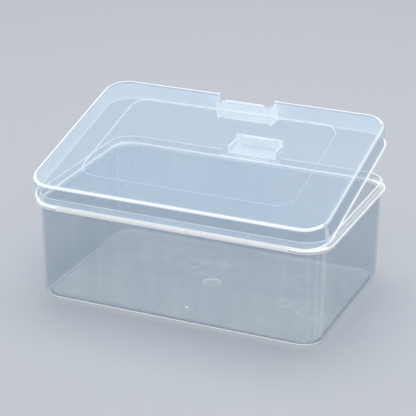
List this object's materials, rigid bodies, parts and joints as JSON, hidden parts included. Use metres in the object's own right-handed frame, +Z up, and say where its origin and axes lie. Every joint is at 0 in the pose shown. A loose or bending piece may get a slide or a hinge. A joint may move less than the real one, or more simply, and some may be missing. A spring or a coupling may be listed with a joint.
{
  "type": "hinged storage box with snap flap",
  "caption": "Translucent plastic organizer box with rounded corners: a deep tub, a lid on a living hinge along the back, and a snap flap at the front that hooks into a pocket in the lid.",
  "frame": {"origin": "on the table, under the middle of the tub", "axes": "+Z up, +Y towards the lid hinge, -Y towards the clasp, X along the length"},
  "size_m": [0.18, 0.1356, 0.1014],
  "materials": {
    "tub_pp": "milky translucent polypropylene, smooth",
    "lid_pp": "milky translucent polypropylene, smooth",
    "web_pp": "stress-whitened thin polypropylene",
    "flap_pp": "milky translucent polypropylene, smooth"
  },
  "bodies": {
    "tub": {"tub_shell": "tub_pp", "rim_ring": "tub_pp", "seal_lip": "tub_pp", "hinge_web": "web_pp", "clasp_web": "web_pp"},
    "lid": {"lid_shell": "lid_pp", "lid_pocket": "lid_pp", "lid_catch": "lid_pp"},
    "flap": {"clasp_flap": "flap_pp"}
  },
  "joints": [
    {"name": "lid_hinge", "type": "hinge", "parent": "tub", "child": "lid", "pos_m": [0, 0.06015, 0.0596], "axis": [-1, 0, 0], "range_deg": [-14.3, 165.7], "deforming": ["hinge_web"]},
    {"name": "clasp_hinge", "type": "hinge", "parent": "tub", "child": "flap", "pos_m": [0, -0.05995, 0.0611], "axis": [-1, 0, 0], "range_deg": [-80, 87.3], "deforming": ["clasp_web"]}
  ]
}
